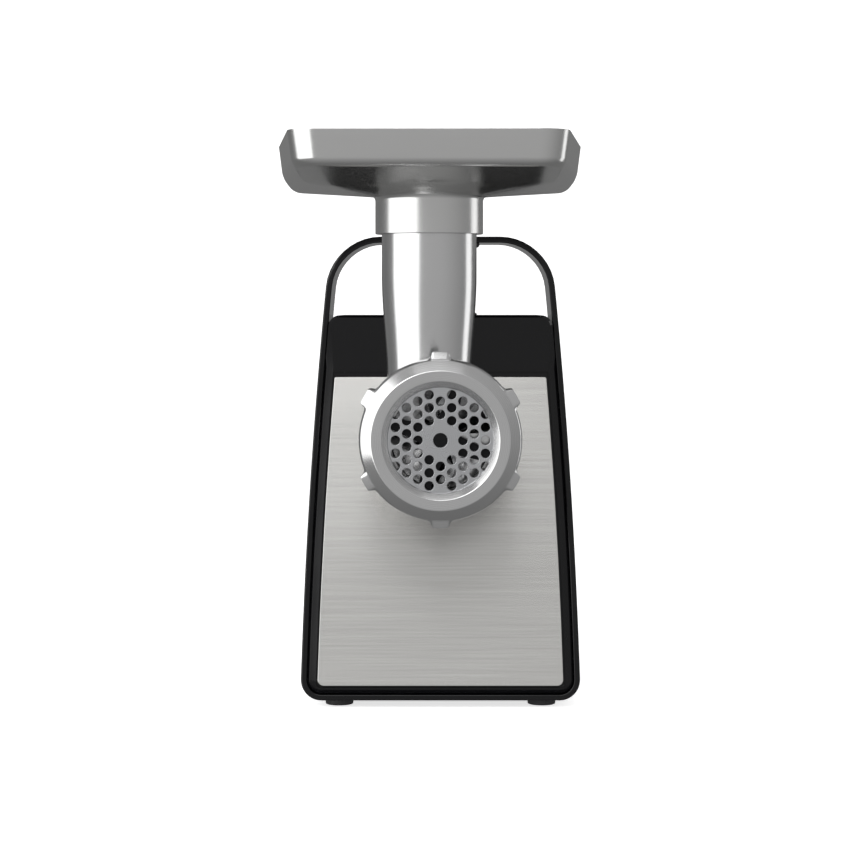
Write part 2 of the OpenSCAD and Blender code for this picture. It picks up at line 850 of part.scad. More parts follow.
module ring_nut() {
    front = -head_front;
    color("#b5b7b9") placed() difference() {
        intersection() {
            along_y(front, nut_back) union() {
                translate([0, head_z]) circle(r = nut_r + 0.8);
                for (a = [30:60:330])
                    translate([0, head_z]) rotate(a) translate([0, -lug_w / 2])
                        square([lug_r, lug_w]);
            }
            union() {
                rod(output_axis, front, front + nut_cone, nut_face_out, nut_r);
                rod(output_axis, front + nut_cone, front + nut_cone + 2, nut_r, lug_r + 0.4);
                rod(output_axis, front + nut_cone + 2, nut_back, lug_r + 0.4);
            }
        }
        rod(output_axis, front - 0.01, front + 3.5, nut_face_in, nut_open_r);
        rod(output_axis, front - 1, nut_back + 1, nut_open_r);
        rod(output_axis, plate_front, plate_back + 0.5, plate_r + slack);
        rod(output_axis, plate_back - 1.5, nut_back + 1, thread_r + slack);
    }
}

// ---- hopper tray ----

// Plan of the tray at a height, moved inwards by inset; front_cut draws its front edge back.
module tray_plan(inset, front_cut, r) {
    front = -tray_front + inset + front_cut;
    back = -tray_front + tray_d - inset;
    taper = (tray_rear_w - tray_front_w) / 2 / (tray_d - 60);
    wide = tray_rear_w / 2 - inset;
    narrow = tray_front_w / 2 - inset + taper * front_cut;
    points = concat(
        arc(narrow - r, front + r, r, -90, 0),
        arc(wide - 2 * r, back - 2 * r, 2 * r, 0, 90));
    translate([-tube_off, 0]) polygon(concat(points, flipped(points)));
}

module tray_bowl(inset) {
    hull() {
        translate([0, 0, tray_top - 0.1 + inset]) linear_extrude(0.1) tray_plan(inset, 0, 14);
        translate([0, 0, tray_low + inset * 0.6]) linear_extrude(0.1)
            tray_plan(2.5 + inset, 0, 14);
        translate([0, 0, tray_low - 8 + inset]) linear_extrude(0.1)
            tray_plan(7 + inset, 28, 16);
        translate([-tube_off, -tube_y, neck_z + inset]) cylinder(h = 0.1, r = collar_r, $fn = 48);
    }
}

module hopper_tray() {
    low = neck_z - collar_h;
    color("#c4c6c8") placed() difference() {
        union() {
            difference() {
                tray_bowl(0);
                tray_bowl(tray_t);
            }
            translate([-tube_off, -tube_y, low]) cylinder(h = collar_h + 1, r = collar_r);
        }
        translate([-tube_off, -tube_y, low - 1]) cylinder(h = tube_top - low + 1 + slack,
            r = tube_r + slack);
        translate([-tube_off, -tube_y, low]) cylinder(h = 60, r = throat_r);
    }
}

loop_frame();
handle_grip();
front_bezel();
front_panel();
housing_shell();
rear_cover();
base_plate();
rubber_feet();
housing_screws();
head_socket();
release_button();
latch_plate();
button_spring();
rocker_bezel();
power_rocker();
cord_gland();
control_board();
motor_can();
stator_core();
brush_holders();
front_bearing();
rear_bearing();
rotor_shaft();
armature();
commutator();
motor_fan();
motor_pinion();
gearbox_case();
gearbox_cover();
first_gear();
first_pinion();
first_shaft();
second_gear();
second_pinion();
second_shaft();
output_gear();
output_shaft();
output_bearing();
grinder_head();
head_bush();
auger();
auger_shank();
thrust_washer();
knife();
cutting_plate();
ring_nut();
hopper_tray();
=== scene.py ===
"""Electric meat grinder: a black housing in a carrying loop, a cast grinding head and a tray."""

import json
import math

import bmesh
import bpy
from bpy.props import FloatProperty, FloatVectorProperty, IntProperty, PointerProperty
from mathutils import Matrix, Vector


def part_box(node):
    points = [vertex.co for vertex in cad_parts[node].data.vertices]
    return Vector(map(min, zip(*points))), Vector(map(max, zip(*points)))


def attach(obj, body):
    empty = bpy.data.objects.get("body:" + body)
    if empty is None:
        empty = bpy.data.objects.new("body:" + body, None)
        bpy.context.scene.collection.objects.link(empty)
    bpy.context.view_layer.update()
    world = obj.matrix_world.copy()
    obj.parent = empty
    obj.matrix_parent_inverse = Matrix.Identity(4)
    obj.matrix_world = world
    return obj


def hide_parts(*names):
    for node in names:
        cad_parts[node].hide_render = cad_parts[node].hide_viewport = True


bl_info = {
    "name": "Meat grinder",
    "version": (1, 0, 0),
    "blender": (4, 5, 0),
    "location": "View3D > Sidebar > Meat grinder",
    "description": "Makes the visible pieces of an electric meat grinder",
    "category": "Add Mesh",
}

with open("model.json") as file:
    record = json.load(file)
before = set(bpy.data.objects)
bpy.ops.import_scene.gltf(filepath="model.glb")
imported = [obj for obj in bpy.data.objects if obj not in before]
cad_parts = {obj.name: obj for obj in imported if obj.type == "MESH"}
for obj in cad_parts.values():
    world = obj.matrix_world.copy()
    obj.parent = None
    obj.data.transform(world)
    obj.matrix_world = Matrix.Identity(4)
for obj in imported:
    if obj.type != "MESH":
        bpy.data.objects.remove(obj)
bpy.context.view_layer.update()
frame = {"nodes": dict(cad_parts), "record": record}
MM = 0.001
SLACK = 0.3 * MM  # gap between pieces that move against each other
NUT_REACH = 195 * MM
FOOT_GAP = 4 * MM  # under the loop
LOOP_SETBACK = 4 * MM  # front edge of the loop behind the front face
# Pieces are modelled from the centre of the housing, which lies at HOME in the frame.
HOME = Vector((sum(c.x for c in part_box("loop_frame")) / 2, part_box("ring_nut")[0].y + NUT_REACH, 0))


# ---- colours and nodes ----


def linear(code):
    """Turns an sRGB hex colour into a linear RGBA colour."""
    parts = [int(code[i : i + 2], 16) / 255 for i in (0, 2, 4)]
    return [p / 12.92 if p <= 0.04045 else ((p + 0.055) / 1.055) ** 2.4 for p in parts] + [1.0]


def add_node(tree, kind, links=(), **settings):
    """Adds a node, sets its settings or its sockets by name, and links sockets to sources."""
    made = tree.nodes.new(kind)
    for name, value in settings.items():
        if hasattr(made, name):
            setattr(made, name, value)
        else:
            made.inputs[name.replace("_", " ")].default_value = value
    for socket, source in links:
        tree.links.new(source, made.inputs[socket])
    return made


def start_material(name):
    """An empty material with its shader, output and object coordinates."""
    material = bpy.data.materials.new(name)
    material.use_nodes = True
    tree = material.node_tree
    tree.nodes.clear()
    shader = add_node(tree, "ShaderNodeBsdfPrincipled")
    add_node(tree, "ShaderNodeOutputMaterial", [("Surface", shader.outputs["BSDF"])])
    place = add_node(tree, "ShaderNodeTexCoord").outputs["Object"]
    return material, tree, shader, place


def speckle(tree, place, size_mm, stretch=(1, 1, 1), detail=3.0):
    """Noise whose grains are size_mm across, drawn out along an axis by stretch."""
    mapped = add_node(tree, "ShaderNodeMapping", [("Vector", place)])
    mapped.inputs["Scale"].default_value = [1 / s for s in stretch]
    return add_node(tree, "ShaderNodeTexNoise", [("Vector", mapped.outputs["Vector"])],
                    Scale=1000 / size_mm, Detail=detail).outputs["Fac"]


def spread(tree, source, low, high, from_low=0.3, from_high=0.7):
    """Maps a 0 to 1 pattern to a range of numbers."""
    return add_node(tree, "ShaderNodeMapRange", [("Value", source)], From_Min=from_low,
                    From_Max=from_high, To_Min=low, To_Max=high).outputs["Result"]


def two_tones(tree, source, first, second):
    """Mixes two colours by a 0 to 1 pattern."""
    mixed = add_node(tree, "ShaderNodeMix", data_type="RGBA")
    mixed.inputs[6].default_value = first
    mixed.inputs[7].default_value = second
    tree.links.new(source, mixed.inputs[0])
    return mixed.outputs[2]


def relief(tree, shader, source, height_mm, strength=1.0):
    """Raises the surface by height_mm where the pattern is 1."""
    bump = add_node(tree, "ShaderNodeBump", [("Height", source)], Strength=strength,
                    Distance=height_mm * MM)
    tree.links.new(bump.outputs["Normal"], shader.inputs["Normal"])


def darker(colour, part):
    return [c * part for c in colour[:3]] + [1.0]


# ---- materials ----


def polished_black_abs(colours):
    # Injection-moulded ABS from a polished tool: a deep black with a wet gloss, whose
    # reflections waver a little with the flow of the moulding. The refractive index is below
    # that of ABS, so that the black stays deep.
    material, tree, shader, place = start_material("polished_black_abs")
    black = list(colours.housing)
    flow = speckle(tree, place, 22, detail=2)
    tree.links.new(two_tones(tree, flow, black, darker(black, 0.65)), shader.inputs["Base Color"])
    tree.links.new(spread(tree, speckle(tree, place, 40), 0.05, 0.09), shader.inputs["Roughness"])
    shader.inputs["IOR"].default_value = 1.4
    relief(tree, shader, flow, 0.004, 0.2)
    return material


def grained_black_abs(colours):
    # ABS moulded in a spark-eroded tool: an even fine grain that scatters the light.
    # The real grain is about 0.15 mm, drawn at 0.5 mm so that it shows.
    material, tree, shader, place = start_material("grained_black_abs")
    black = list(colours.trim)
    grain = speckle(tree, place, 0.5, detail=2)
    tree.links.new(two_tones(tree, grain, black, darker(black, 0.6)), shader.inputs["Base Color"])
    tree.links.new(spread(tree, grain, 0.42, 0.6), shader.inputs["Roughness"])
    shader.inputs["IOR"].default_value = 1.54
    relief(tree, shader, grain, 0.05, 0.5)
    return material


def soft_rubber(colours):
    # Moulded thermoplastic rubber: charcoal, dull, with a dusty bloom.
    material, tree, shader, place = start_material("soft_rubber")
    black = list(colours.rubber)
    bloom = speckle(tree, place, 6)
    tree.links.new(two_tones(tree, bloom, black, darker(black, 1.6)), shader.inputs["Base Color"])
    tree.links.new(spread(tree, bloom, 0.7, 0.88), shader.inputs["Roughness"])
    shader.inputs["IOR"].default_value = 1.52
    relief(tree, shader, speckle(tree, place, 0.7, detail=2), 0.04, 0.5)
    return material


def brushed_stainless(colours):
    # Stainless sheet brushed from side to side: long fine scratches that smear reflections
    # up and down. Real scratches are 0.05 mm apart, drawn at 0.35 mm so that they show.
    material, tree, shader, place = start_material("brushed_stainless")
    steel = list(colours.panel)
    scratches = speckle(tree, place, 0.35, (150, 1, 1), detail=2)
    streaks = speckle(tree, place, 1.4, (60, 1, 1), detail=4)
    clouds = speckle(tree, place, 55, (2.5, 1, 1), detail=2)
    both = add_node(tree, "ShaderNodeMath", [(0, scratches), (1, streaks)], operation="ADD")
    tree.links.new(two_tones(tree, spread(tree, both.outputs[0], 0, 1, 0.75, 1.25),
                             darker(steel, 0.91), steel), shader.inputs["Base Color"])
    tree.links.new(spread(tree, clouds, 0.22, 0.26), shader.inputs["Roughness"])
    shader.inputs["Metallic"].default_value = 1.0
    shader.inputs["Anisotropic"].default_value = 0.6
    tangent = add_node(tree, "ShaderNodeTangent", direction_type="UV_MAP", uv_map="brushing")
    tree.links.new(tangent.outputs["Tangent"], shader.inputs["Tangent"])
    relief(tree, shader, scratches, 0.003, 0.2)
    return material


def satin_cast_aluminium(colours):
    # Die-cast aluminium, tumbled and polished by hand: soft broad highlights over a skin
    # with a faint grain and slightly duller patches.
    material, tree, shader, place = start_material("satin_cast_aluminium")
    alloy = list(colours.casting)
    patches = speckle(tree, place, 26, detail=3)
    grain = speckle(tree, place, 0.8, detail=2)
    tree.links.new(two_tones(tree, patches, alloy, darker(alloy, 0.97)),
                   shader.inputs["Base Color"])
    tree.links.new(spread(tree, patches, 0.19, 0.22), shader.inputs["Roughness"])
    shader.inputs["Metallic"].default_value = 1.0
    relief(tree, shader, grain, 0.006, 0.3)
    return material


def turned_rings(name, colour, pitch_mm, roughness, height_mm):
    """A metal turned about the head's axis: fine rings pitch_mm apart."""
    material, tree, shader, place = start_material(name)
    mapped = add_node(tree, "ShaderNodeMapping", [("Vector", place)])
    mapped.inputs["Location"].default_value = (-HOME.x, 0, -bpy.context.scene.grinder_head.axis_z)
    mapped.inputs["Scale"].default_value = (1, 0, 1)
    # a ring wave of scale s repeats every 2 pi / (20 s) of a metre
    rings = add_node(tree, "ShaderNodeTexWave", [("Vector", mapped.outputs["Vector"])],
                     wave_type="RINGS", rings_direction="SPHERICAL",
                     Scale=2 * math.pi / (20 * pitch_mm * MM), Distortion=0.4,
                     Detail=1.0).outputs["Fac"]
    patches = speckle(tree, place, 18)
    tree.links.new(two_tones(tree, rings, colour, darker(colour, 0.93)),
                   shader.inputs["Base Color"])
    tree.links.new(spread(tree, patches, roughness, roughness + 0.07), shader.inputs["Roughness"])
    shader.inputs["Metallic"].default_value = 1.0
    relief(tree, shader, rings, height_mm, 0.3)
    return material


def turned_aluminium(colours):
    # Aluminium casting faced on a lathe: fine rings and a clean bright face.
    return turned_rings("turned_aluminium", list(colours.casting), 0.9, 0.19, 0.006)


def ground_tool_steel(colours):
    # Hardened steel, ground flat: cooler and a little darker, with faint grinding rings.
    return turned_rings("ground_tool_steel", list(colours.cutting), 1.1, 0.24, 0.005)


def drawn_aluminium(colours):
    # Aluminium sheet pressed into a dish and polished: long soft reflections, faint
    # drawing marks that run round the wall.
    material, tree, shader, place = start_material("drawn_aluminium")
    sheet = list(colours.tray)
    marks = speckle(tree, place, 1.2, (25, 25, 1), detail=3)
    patches = speckle(tree, place, 30)
    tree.links.new(two_tones(tree, marks, sheet, darker(sheet, 0.97)), shader.inputs["Base Color"])
    tree.links.new(spread(tree, patches, 0.22, 0.25), shader.inputs["Roughness"])
    shader.inputs["Metallic"].default_value = 1.0
    relief(tree, shader, marks, 0.008, 0.3)
    return material


def plain_metal(name, colour, roughness, grain_mm):
    """A metal inside the machine: mottled, with a fine machined grain."""
    material, tree, shader, place = start_material(name)
    patches = speckle(tree, place, 9)
    tree.links.new(two_tones(tree, patches, colour, darker(colour, 0.8)),
                   shader.inputs["Base Color"])
    tree.links.new(spread(tree, patches, roughness, roughness + 0.12), shader.inputs["Roughness"])
    shader.inputs["Metallic"].default_value = 1.0
    relief(tree, shader, speckle(tree, place, grain_mm), 0.02, 0.4)
    return material


def plain_moulding(name, colour, roughness, grain_mm, ior):
    """A moulded or coated part inside the machine: even, with a slight mottle."""
    material, tree, shader, place = start_material(name)
    patches = speckle(tree, place, 7)
    tree.links.new(two_tones(tree, patches, colour, darker(colour, 0.82)),
                   shader.inputs["Base Color"])
    tree.links.new(spread(tree, patches, roughness, roughness + 0.1), shader.inputs["Roughness"])
    shader.inputs["IOR"].default_value = ior
    relief(tree, shader, speckle(tree, place, grain_mm), 0.02, 0.4)
    return material


def machine_finishes():
    """One material for each finish of the parts inside, by the record's slot name."""
    return {
        # bead-blasted casting, greyer than the polished head
        "socket_aluminium": plain_metal("blasted_aluminium", linear("A6A8AB"), 0.34, 0.6),
        # case-hardened and blacked in oil, with a dull sheen; the knife and auger shank also take it
        # as painted shade for the dark cavity behind the plate's holes
        "blacked_steel": plain_metal("blacked_steel", linear("2A2A2B"), 0.32, 0.5),
        # turned bright bar, with an oily sheen
        "machined_steel": plain_metal("turned_bright_steel", linear("A2A5A8"), 0.22, 0.5),
        # zinc-plated and lacquered can, a dull satin grey
        "motor_steel": plain_metal("zinc_plated_steel", linear("7A7E82"), 0.38, 0.8),
        # stacked sheets under brown varnish
        "laminations": plain_moulding("varnished_laminations", linear("5A4030"), 0.3, 0.5, 1.5),
        # segments turned bright between strips of mica
        "copper": plain_metal("turned_copper", linear("C98A62"), 0.25, 0.4),
        # pressed and sintered powder, soaked with oil
        "bronze": plain_metal("sintered_bronze", linear("B08A4E"), 0.42, 0.5),
        # moulded acetal, milky and waxy
        "acetal": plain_moulding("moulded_acetal", linear("DEDACD"), 0.32, 1.2, 1.48),
        # woven glass board under green solder mask
        "circuit_board": plain_moulding("solder_masked_board", linear("1F5A38"), 0.28, 0.6, 1.5),
    }


def finish(name, make):
    """The material called name, made by the given function when it is first asked for."""
    known = bpy.data.materials.get(name)
    return known or make(bpy.context.scene.grinder_colours)


# ---- sizes and colours ----


class HousingSizes(bpy.types.PropertyGroup):
    """Sizes of the housing and its carrying loop."""

    base_w: FloatProperty(name="Width at the table", description="Width of the loop at the table",
                          default=159.8 * MM, unit="LENGTH")
    shoulder_w: FloatProperty(name="Width at the shoulder",
                              description="Width of the loop at the black shoulder",
                              default=136.6 * MM, unit="LENGTH")
    body_d: FloatProperty(name="Depth", description="Depth of the housing at the table",
                          default=190 * MM, unit="LENGTH")
    shoulder_h: FloatProperty(name="Shoulder height", description="Height of the black shoulder",
                              default=223 * MM, unit="LENGTH")
    handle_h: FloatProperty(name="Handle height", description="Height of the top of the loop",
                            default=269 * MM, unit="LENGTH")
    lean: FloatProperty(name="Lean", description="Backward lean of the front",
                        default=math.radians(8.5), subtype="ANGLE")
    side_r: FloatProperty(name="Side bow", description="Radius of the bow of the sides",
                          default=3450 * MM, unit="LENGTH")
    band_t: FloatProperty(name="Band thickness", description="Thickness of the loop's band",
                          default=3.6 * MM, unit="LENGTH")
    band_d: FloatProperty(name="Band depth", description="Depth of the loop's band",
                          default=58 * MM, unit="LENGTH")
    arch_r: FloatProperty(name="Arch radius", description="Corner radius of the handle arch",
                          default=29 * MM, unit="LENGTH")
    corner_r: FloatProperty(name="Base radius", description="Corner radius at the table",
                            default=12 * MM, unit="LENGTH")
    bevel_w: FloatProperty(name="Bevel width", description="Width of the bevel beside the panel",
                           default=5 * MM, unit="LENGTH")
    panel_high: FloatProperty(name="Panel top", description="Height of the panel's upper edge",
                              default=189.5 * MM, unit="LENGTH")

    def half_w(self, z):
        """Half the outer width of the loop at height z."""
        return (self.base_w / 2 - (self.base_w - self.shoulder_w) / 2 * z / self.shoulder_h
                + z * (self.shoulder_h - z) / (2 * self.side_r))

    def face_y(self, z, depth):
        """Place of a plane that lies depth behind the leaning front face, at height z."""
        return -self.body_d / 2 + z * math.tan(self.lean) + depth / math.cos(self.lean)


class HeadSizes(bpy.types.PropertyGroup):
    """Sizes of the grinding head and its ring nut."""

    axis_z: FloatProperty(name="Axis height", description="Height of the head's axis",
                          default=157.5 * MM, unit="LENGTH")
    front: FloatProperty(name="Reach", description="Nut's face to the housing's centre",
                         default=NUT_REACH, unit="LENGTH")
    tube_off: FloatProperty(name="Tube offset", description="Sideways offset of the feed tube",
                            default=6.2 * MM, unit="LENGTH")
    tube_y: FloatProperty(name="Tube reach", description="Tube to the housing's centre",
                          default=130 * MM, unit="LENGTH")
    tube_r: FloatProperty(name="Tube radius", description="Radius of the tube at its top",
                          default=26.2 * MM, unit="LENGTH")
    tube_root_r: FloatProperty(name="Tube root radius", description="Radius at the barrel",
                               default=23 * MM, unit="LENGTH")
    throat_r: FloatProperty(name="Throat radius", description="Inner radius of the feed tube",
                            default=20.5 * MM, unit="LENGTH")
    tube_top: FloatProperty(name="Tube top", description="Height of the feed tube's top",
                            default=286 * MM, unit="LENGTH")
    plate_r: FloatProperty(name="Plate radius", description="Radius of the cutting plate",
                           default=31 * MM, unit="LENGTH")
    spigot_r: FloatProperty(name="Spigot radius", description="Radius of the rear spigot",
                            default=29 * MM, unit="LENGTH")
    lug_w: FloatProperty(name="Lug width", description="Width of each lug of the ring nut",
                         default=9 * MM, unit="LENGTH")
    lugs: IntProperty(name="Lugs", description="Number of lugs on the ring nut", default=6)


class TraySizes(bpy.types.PropertyGroup):
    """Sizes of the hopper tray."""

    front_w: FloatProperty(name="Front width", description="Width of the front edge",
                           default=150 * MM, unit="LENGTH")
    rear_w: FloatProperty(name="Rear width", description="Width of the rear edge",
                          default=176 * MM, unit="LENGTH")
    depth: FloatProperty(name="Depth", description="Depth from front to back",
                         default=176 * MM, unit="LENGTH")
    front: FloatProperty(name="Reach", description="Front edge to the housing's centre",
                         default=205 * MM, unit="LENGTH")
    top: FloatProperty(name="Rim height", description="Height of the rim",
                       default=321.4 * MM, unit="LENGTH")
    lip: FloatProperty(name="Front wall", description="Height of the wall at the front",
                       default=19 * MM, unit="LENGTH")
    wall: FloatProperty(name="Sheet thickness", description="Thickness of the sheet",
                        default=1.8 * MM, unit="LENGTH")
    collar_r: FloatProperty(name="Collar radius", description="Radius of the collar",
                            default=29.8 * MM, unit="LENGTH")
    collar_h: FloatProperty(name="Collar height", description="Height of the collar",
                            default=20.5 * MM, unit="LENGTH")


class Colours(bpy.types.PropertyGroup):
    """Base colours of the finishes that show."""

    housing: FloatVectorProperty(name="Housing", description="Polished black ABS",
                                 subtype="COLOR", size=4, default=linear("08080A"))
    trim: FloatVectorProperty(name="Trim", description="Grained black ABS",
                              subtype="COLOR", size=4, default=linear("141415"))
    rubber: FloatVectorProperty(name="Rubber", description="Feet and grip pad",
                                subtype="COLOR", size=4, default=linear("202021"))
    panel: FloatVectorProperty(name="Panel", description="Brushed stainless steel",
                               subtype="COLOR", size=4, default=linear("E6E5E2"))
    casting: FloatVectorProperty(name="Casting", description="Die-cast aluminium",
                                 subtype="COLOR", size=4, default=linear("D4D4D4"))
    cutting: FloatVectorProperty(name="Cutting set", description="Ground tool steel",
                                 subtype="COLOR", size=4, default=linear("C8C9CB"))
    tray: FloatVectorProperty(name="Tray", description="Pressed aluminium",
                              subtype="COLOR", size=4, default=linear("D2D2D1"))


# ---- modelling ----


def put_in_scene(bm, name, body, materials, stands_for=(), sharp=35, shift=HOME):
    """Makes bm an object at the origin, shaded smooth with its sharp edges kept."""
    bmesh.ops.translate(bm, vec=shift, verts=bm.verts)
    bmesh.ops.remove_doubles(bm, verts=bm.verts, dist=1e-6)
    bmesh.ops.dissolve_degenerate(bm, dist=1e-6, edges=bm.edges)
    bmesh.ops.recalc_face_normals(bm, faces=bm.faces)
    mesh = bpy.data.meshes.new(name)
    bm.to_mesh(mesh)
    bm.free()
    for material in materials:
        mesh.materials.append(material)
    mesh.shade_smooth()
    mesh.set_sharp_from_angle(angle=math.radians(sharp))
    piece = bpy.data.objects.new(name, mesh)
    bpy.context.scene.collection.objects.link(piece)
    even = piece.modifiers.new("even_shading", "WEIGHTED_NORMAL")
    even.keep_sharp = True
    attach(piece, body)
    if stands_for:
        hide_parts(*stands_for)
    return piece


def round_edges(bm, width, segments=2, sharper_than=30):
    """Rounds every edge that is sharper than an angle in degrees."""
    limit = math.radians(sharper_than)
    edges = [e for e in bm.edges if len(e.link_faces) == 2 and e.calc_face_angle(0) > limit]
    bmesh.ops.bevel(bm, geom=edges, offset=width, offset_type="OFFSET", segments=segments,
                    profile=0.5, affect="EDGES", material=-1, clamp_overlap=True)


def from_cad(node):
    """A merged copy of a CAD node's mesh, with its flat faces made whole."""
    bm = bmesh.new()
    bm.from_mesh(frame["nodes"][node].data)
    bmesh.ops.remove_doubles(bm, verts=bm.verts, dist=2e-6)
    bmesh.ops.dissolve_limit(bm, angle_limit=math.radians(0.4), use_dissolve_boundaries=False,
                             verts=bm.verts, edges=bm.edges, delimit=set())
    return bm


def softened(node, name, body, material, width, segments=2, sharper_than=30):
    """A CAD node again with its moulded or dressed edges rounded."""
    bm = from_cad(node)
    round_edges(bm, width, segments, sharper_than)
    return put_in_scene(bm, name, body, [material], [node], shift=Vector())


def combined(base, other, how):
    """Unites two closed shapes, or cuts the second from the first."""
    pair = []
    for bm in (base, other):
        bmesh.ops.remove_doubles(bm, verts=bm.verts, dist=1e-6)
        bmesh.ops.recalc_face_normals(bm, faces=bm.faces)
        mesh = bpy.data.meshes.new("joining")
        bm.to_mesh(mesh)
        bm.free()
        helper = bpy.data.objects.new("joining", mesh)
        bpy.context.scene.collection.objects.link(helper)
        pair.append(helper)
    step = pair[0].modifiers.new("joining", "BOOLEAN")
    step.operation = how
    step.solver = "EXACT"
    step.object = pair[1]
    made = bmesh.new()
    made.from_object(pair[0], bpy.context.evaluated_depsgraph_get())
    for helper in pair:
        mesh = helper.data
        bpy.data.objects.remove(helper)
        bpy.data.meshes.remove(mesh)
    return made


def front_outline(bm, sizes, inset, low, high, low_r, high_r, steps=14):
    """Front outline as one face: straight-drawn with bowed sides, then its corners rounded."""
    inner = [low + (high - low) * i / steps for i in range(1, steps)]
    heights = [low] + [z for z in inner if low + low_r * 1.1 < z < high - high_r * 1.1] + [high]
    right = [bm.verts.new((sizes.half_w(z) - inset, 0, z)) for z in heights]
    left = [bm.verts.new((inset - sizes.half_w(z), 0, z)) for z in reversed(heights)]
    bm.faces.new(right + left)
    for corners, radius in (((right[0], left[-1]), low_r), ((right[-1], left[0]), high_r)):
        bmesh.ops.bevel(bm, geom=corners, offset=radius, offset_type="OFFSET", segments=10,
                        profile=0.5, affect="VERTICES", material=-1)
    bm.faces.ensure_lookup_table()
    return bm.faces[0]


def lay_on_face(sizes, verts, depth):
    """Moves vertices along Y until they lie depth behind the leaning front face."""
    for v in verts:
        v.co.y = sizes.face_y(v.co.z, depth)


def inset_face(bm, face, width):
    """Insets one face evenly, and gives back the face left in its middle."""
    rim = set(bmesh.ops.inset_region(bm, faces=[face], thickness=width, use_even_offset=True,
                                     use_boundary=True)["faces"])
    return max((f for f in bm.faces if f not in rim),
               key=lambda f: sum(not rim.isdisjoint(e.link_faces) for e in f.edges))


def thickened(bm, faces, shift):
    """Extrudes faces along a vector into a closed solid."""
    made = bmesh.ops.extrude_face_region(bm, geom=faces)
    moved = [g for g in made["geom"] if isinstance(g, bmesh.types.BMVert)]
    bmesh.ops.translate(bm, vec=shift, verts=moved)
    return moved


def turned(points, centre, along, rounding=0.5 * MM, steps=96, segments=2):
    """A solid of revolution from a closed section of (radius, distance) points."""
    bm = bmesh.new()
    sideways = Vector((1, 0, 0))
    section = [bm.verts.new(centre + sideways * r + along * d) for r, d in points]
    bm.faces.new(section)
    corners = [v for v, (r, d) in zip(section, points) if r > 1e-6]
    if rounding:
        bmesh.ops.bevel(bm, geom=corners, offset=rounding, offset_type="OFFSET",
                        segments=segments, profile=0.5, affect="VERTICES", material=-1,
                        clamp_overlap=True)
    bmesh.ops.delete(bm, geom=bm.faces[:], context="FACES_ONLY")
    bmesh.ops.spin(bm, geom=bm.verts[:] + bm.edges[:], cent=centre, axis=along,
                   angle=2 * math.pi, steps=steps, use_merge=True)
    bmesh.ops.remove_doubles(bm, verts=bm.verts, dist=1e-6)
    bmesh.ops.dissolve_degenerate(bm, dist=1e-6, edges=bm.edges)
    bmesh.ops.recalc_face_normals(bm, faces=bm.faces)
    return bm


class CarryingLoop(bpy.types.Operator):
    """Makes the one-piece loop round the housing, whose top is the handle"""

    bl_idname = "grinder.carrying_loop"
    bl_label = "Carrying loop"

    def execute(self, context):
        sizes = context.scene.grinder_housing
        bm = bmesh.new()
        front = front_outline(bm, sizes, 0, FOOT_GAP, sizes.handle_h, sizes.corner_r, sizes.arch_r)
        middle = inset_face(bm, front, sizes.band_t)
        bmesh.ops.delete(bm, geom=[middle], context="FACES_ONLY")
        lay_on_face(sizes, bm.verts, LOOP_SETBACK)
        thickened(bm, bm.faces[:], Vector((0, sizes.band_d, 0)))
        bmesh.ops.recalc_face_normals(bm, faces=bm.faces)
        round_edges(bm, 0.9 * MM, 3, 50)
        put_in_scene(bm, "carrying_loop", "housing",
                     [finish("polished_black_abs", polished_black_abs)], ["loop_frame"])
        softened("handle_grip", "grip_pad", "housing", finish("soft_rubber", soft_rubber),
                 0.6 * MM)
        return {"FINISHED"}


